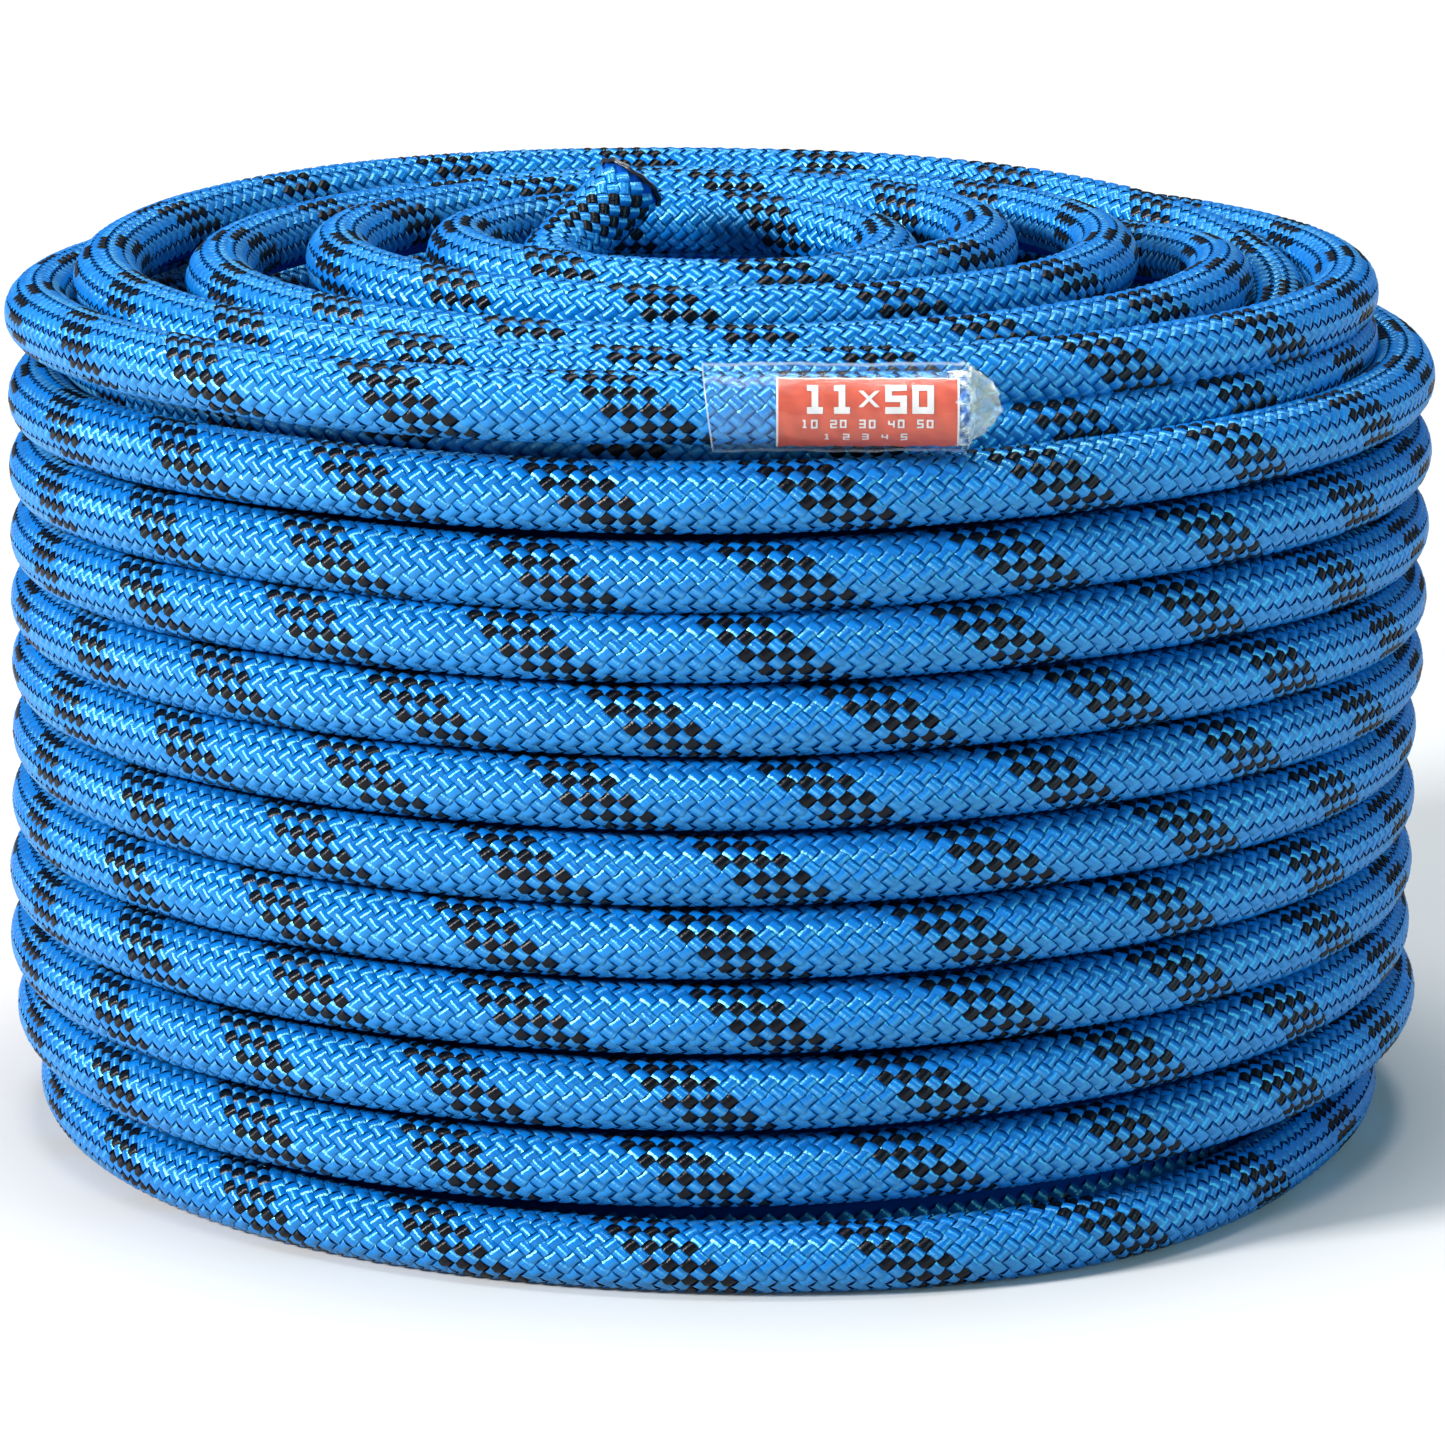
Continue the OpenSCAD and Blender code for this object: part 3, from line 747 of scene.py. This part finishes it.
# the cut end's outline: furthest out just below the middle, and cut back more steeply below
cut_back = np.where(above > 0, 1.8 * np.abs(above) + 2.6 * np.abs(above) ** 8, 5.0 * np.abs(above) ** 1.5)
cut_back = (cut_back + 0.2 * np.sin(above * 11) + 0.15 * np.sin(above * 23 + 1)) / 1000
co_out = np.stack([gx - cut_back * smooth((gs - 0.86) / 0.14),
                   AXIS[1] - half_t * forward + wobble, AXIS[2] + half_h * above], -1)
shrink = np.stack([np.zeros_like(ga), forward, -above], -1) * FILM_THICKNESS
co_in = co_out + shrink * np.minimum(1, half_t / 0.002)[..., None]
co_o, f_o, (i, k) = grid(co_out, closed=True)
co_i, f_i, _ = grid(co_in, closed=True)
film_kind = np.where(co_o[f_o[:, 0], 0] > MILKY_FROM_X, MILKY, CLEAR)
# the flat tube's two fold lines, at its top and bottom, and its cut edge are paler and less clear: partly a
# real crease, partly painted sheen of the film seen edge-on
fold_line = ((ang[k] >= 95) & (ang[k] < 105)) | ((ang[k] >= 275) & (ang[k] < 285)) | (i == 0)
film_kind = np.where((film_kind == CLEAR) & fold_line, CREASE_AND_EDGE_SHEEN, film_kind)
# the pinched end is milky in streaks
streak = np.sin(np.radians(ang[k] * 8 + 20) + i * 0.25) + np.sin(np.radians(ang[k] * 13) - i * 0.35)
film_kind = np.where((film_kind == MILKY) & (streak < -0.2), CREASE_AND_EDGE_SHEEN, film_kind)
first = np.arange(SLEEVE_SIDES)
second = (first + 1) % SLEEVE_SIDES
rim = np.stack([first, second, second + len(co_o), first + len(co_o)], -1)
last_ring = (SLEEVE_RINGS - 1) * SLEEVE_SIDES
end_rim = np.stack([second, first, first + len(co_o), second + len(co_o)], -1) + last_ring
rim_kinds = [np.full(SLEEVE_SIDES, CREASE_AND_EDGE_SHEEN), np.full(SLEEVE_SIDES, MILKY)]
piece("sleeve_film", [(np.concatenate([co_o, co_i]),
                       np.concatenate([f_o, f_i[:, ::-1] + len(co_o), rim, end_rim]),
                       np.concatenate([film_kind, film_kind] + rim_kinds))],
      [clear, milky, crease_and_edge_sheen], "clear_sleeve")

# the tail's cut: sheath and core fused by a hot knife into a dark bead round a pale face
char, nt, p = material("melted_dark", (0.008, 0.011, 0.018), 0.32)
n = noisy(nt, 900, 4)
bumped(nt, p, n.outputs["Fac"], 0.6, 0.0003)
rough_by(nt, p, n.outputs["Fac"], 0.2, 0.5)
pale, nt, p = material("melted_pale", (0.40, 0.38, 0.34), 0.45)
n = noisy(nt, 700, 5)
r = ramp(nt, n.outputs["Fac"], [(0.38, (0.06, 0.09, 0.15)), (0.50, (0.30, 0.30, 0.29)),
                                (0.66, (0.52, 0.49, 0.43))])
nt.links.new(r.outputs[0], p.inputs["Base Color"])
bumped(nt, p, n.outputs["Fac"], 0.6, 0.0003)
cut, t_u, t_v, t_d = centre[-1], up[-1], side[-1], tangent[-1]
# heights past the cut and radii, in mm
bead = np.array([(-0.30, 5.55), (-0.12, 5.92), (0.06, 6.08), (0.22, 6.0), (0.34, 5.8), (0.40, 5.4),
                 (0.36, 4.6), (0.42, 3.0), (0.36, 1.5)])
BEAD_SIDES = 72
PALE_FROM = 3                  # the bead's rings from here inward are pale
ang = np.arange(BEAD_SIDES) * 360 / BEAD_SIDES
gh, ga = np.meshgrid(bead[:, 0], ang, indexing="ij")
gr = bead[:, 1][:, None] * np.ones_like(ga)
gr = gr + 0.12 * np.sin(np.radians(ga * 12)) * (gr > 5) + 0.07 * np.sin(np.radians(ga * 7 + 30)) * (gr > 5)
gh = gh + 0.13 * np.sin(np.radians(ga * 5 + 20)) + 0.09 * np.sin(np.radians(ga * 13)) * (gr > 4)
a = np.radians(ga)
co = (cut + (gh / 1000)[..., None] * t_d
      + (gr / 1000)[..., None] * (np.cos(a)[..., None] * t_u + np.sin(a)[..., None] * t_v))
co, f, (i, _) = grid(co, closed=True)
verts = np.concatenate([co, [cut + t_d * 0.00036, cut - t_d * 0.0003]])
faces = ([tuple(q[::-1]) for q in f] + fan(range(len(co) - BEAD_SIDES, len(co)), len(co), True)
         + fan(range(BEAD_SIDES), len(co) + 1))
mat = np.concatenate([(i >= PALE_FROM).astype(int), np.ones(BEAD_SIDES, int), np.zeros(BEAD_SIDES, int)])
piece("tail_melted_bead", [(verts, faces, mat)], [char, pale], "tail_melted_rim")


# ---------------------------------------------------------------- inside the two ends: core strands and tape
def tube(line, radius, sides=6):
    """A closed tube round a line of points."""
    t = np.gradient(line, axis=0)
    t /= np.linalg.norm(t, axis=1)[:, None]
    ref = np.array([0.3, 0.2, 0.93])
    n1 = np.cross(t, ref)
    n1 /= np.linalg.norm(n1, axis=1)[:, None]
    n2 = np.cross(t, n1)
    a = (np.arange(sides) * 2 * math.pi / sides)[None, :, None]
    co = line[:, None] + radius * (np.cos(a) * n1[:, None] + np.sin(a) * n2[:, None])
    co, f, _ = grid(co, closed=True)
    return co, [tuple(q[::-1]) for q in f] + [tuple(range(sides)),
                                              tuple(range(len(co) - sides, len(co)))[::-1]]


core_mat, nt, p = material("core_yarn", (0.80, 0.79, 0.74), 0.6, Sheen_Weight=0.2)
n = noisy(nt, 1500, 3, (0.2, 1, 1))
bumped(nt, p, n.outputs["Fac"], 0.4, 0.0001)
rough_by(nt, p, n.outputs["Fac"], 0.5, 0.8)
tape_mat, nt, p = material("id_tape", (0.80, 0.52, 0.05), 0.35)
n = noisy(nt, 800, 3)
bumped(nt, p, n.outputs["Fac"], 0.2, 0.0001)
rough_by(nt, p, n.outputs["Fac"], 0.25, 0.5)
SHEATH = 0.0012
STRAND_R = (D / 2 - SHEATH) / 4.35
STRANDS, STRANDS_WITHIN = 12, 3
LAY = 0.006                    # along a strand for each turn of its plies


def end_line(s, angle, r):
    """Points inside the rope, r from its middle at an angle."""
    a = math.radians(angle)
    return at(s, centre) + r * (math.cos(a) * at(s, up) + math.sin(a) * at(s, side))


TAPE_ANGLE, TAPE_RINGS = 60, 24
for end, s0, s1, count in (("label_end", 0.0008, 0.040, 40), ("tail", total - 0.006, total - 0.0006, 12)):
    s = np.linspace(s0, s1, count)
    u, v = at(s, up), at(s, side)
    for number in range(1, STRANDS + 1):
        within = number <= STRANDS_WITHIN
        ring_r = (1.2 if within else 3.2) * STRAND_R
        spot = end_line(s, number * 120 if within else 20 + number * 40, ring_r)
        plies = []
        for ply in range(3):
            a = np.radians(s / LAY * 360 + ply * 120)
            line = spot + STRAND_R * 0.5 * (np.cos(a)[:, None] * u + np.sin(a)[:, None] * v)
            plies.append((*tube(line, STRAND_R * 0.46), 0))
        piece("%s_twisted_strand_%02d" % (end, number), plies, [core_mat],
              "%s_core_strand_%02d" % (end, number))
    s = np.linspace(s0, s1, TAPE_RINGS)
    mid = end_line(s, TAPE_ANGLE, 1.85 * STRAND_R)
    a = math.radians(TAPE_ANGLE)
    wide = -math.sin(a) * at(s, up) + math.cos(a) * at(s, side)
    thick = np.cross(wide, at(s, tangent))
    wave = 0.00002 * np.sin(np.arange(TAPE_RINGS) * 0.9)[:, None]
    box = np.stack([mid + wide * 0.0006 * w + thick * (0.00007 * t + wave)
                    for w, t in ((-1, -1), (1, -1), (1, 1), (-1, 1))], 1)
    co, f, _ = grid(box, closed=True)
    caps = [(3, 2, 1, 0), tuple(range(len(co) - 4, len(co)))]
    piece(end + "_tape_strip", [(co, [tuple(q) for q in f] + caps, 0)], [tape_mat],
          end + "_id_tape", smooth_faces=False)


# ---------------------------------------------------------------- studio
FLOOR_R, FLOOR_SIDES = 20, 64
floor_me = bpy.data.meshes.new("studio_floor")
corners = [(FLOOR_R * math.cos(a), FLOOR_R * math.sin(a), 0)
           for a in np.linspace(0, 2 * math.pi, FLOOR_SIDES + 1)[:-1]]
floor_me.from_pydata(corners, [], [list(range(FLOOR_SIDES))])
floor = bpy.data.objects.new("studio_floor", floor_me)
scene.collection.objects.link(floor)
floor_mat, nt, p = material("floor", (0.52, 0.51, 0.505), 0.9)
# the floor brightens away from the coil, as a white cove does
place = nt.nodes.new("ShaderNodeTexCoord")
far = nt.nodes.new("ShaderNodeVectorMath")
far.operation = "LENGTH"
nt.links.new(place.outputs["Object"], far.inputs[0])
glow = nt.nodes.new("ShaderNodeMapRange")
for key, value in (("From Min", 0.08), ("From Max", 1.7), ("To Min", 0.0), ("To Max", 0.90)):
    glow.inputs[key].default_value = value
nt.links.new(far.outputs["Value"], glow.inputs["Value"])
p.inputs["Emission Color"].default_value = (1, 1, 1, 1)
nt.links.new(glow.outputs[0], p.inputs["Emission Strength"])
floor_me.materials.append(floor_mat)

world = bpy.data.worlds.new("world")
scene.world = world
world.use_nodes = True
world.node_tree.nodes["Background"].inputs["Color"].default_value = (0.72, 0.88, 1, 1)
world.node_tree.nodes["Background"].inputs["Strength"].default_value = 0.21


def softbox(name, place, size, power, target=(0, 0, 0.07), colour=(1, 1, 1)):
    """A rectangular area light that faces the coil."""
    light = bpy.data.lights.new(name, "AREA")
    light.shape = "RECTANGLE"
    light.size, light.size_y = size
    light.energy = power
    light.color = colour
    ob = bpy.data.objects.new(name, light)
    scene.collection.objects.link(ob)
    ob.location = place
    ob.rotation_mode = "QUATERNION"
    ob.rotation_quaternion = (Vector(target) - Vector(place)).to_track_quat("-Z", "Y")


softbox("key", (-1.5, -0.9, 0.9), (0.36, 0.36), 74)
softbox("top", (0, 0.0, 1.7), (0.8, 0.8), 28)
softbox("fill", (1.6, -0.9, 0.6), (0.9, 0.9), 20, colour=(0.32, 0.78, 1.0))
scene.view_settings.view_transform = "Standard"
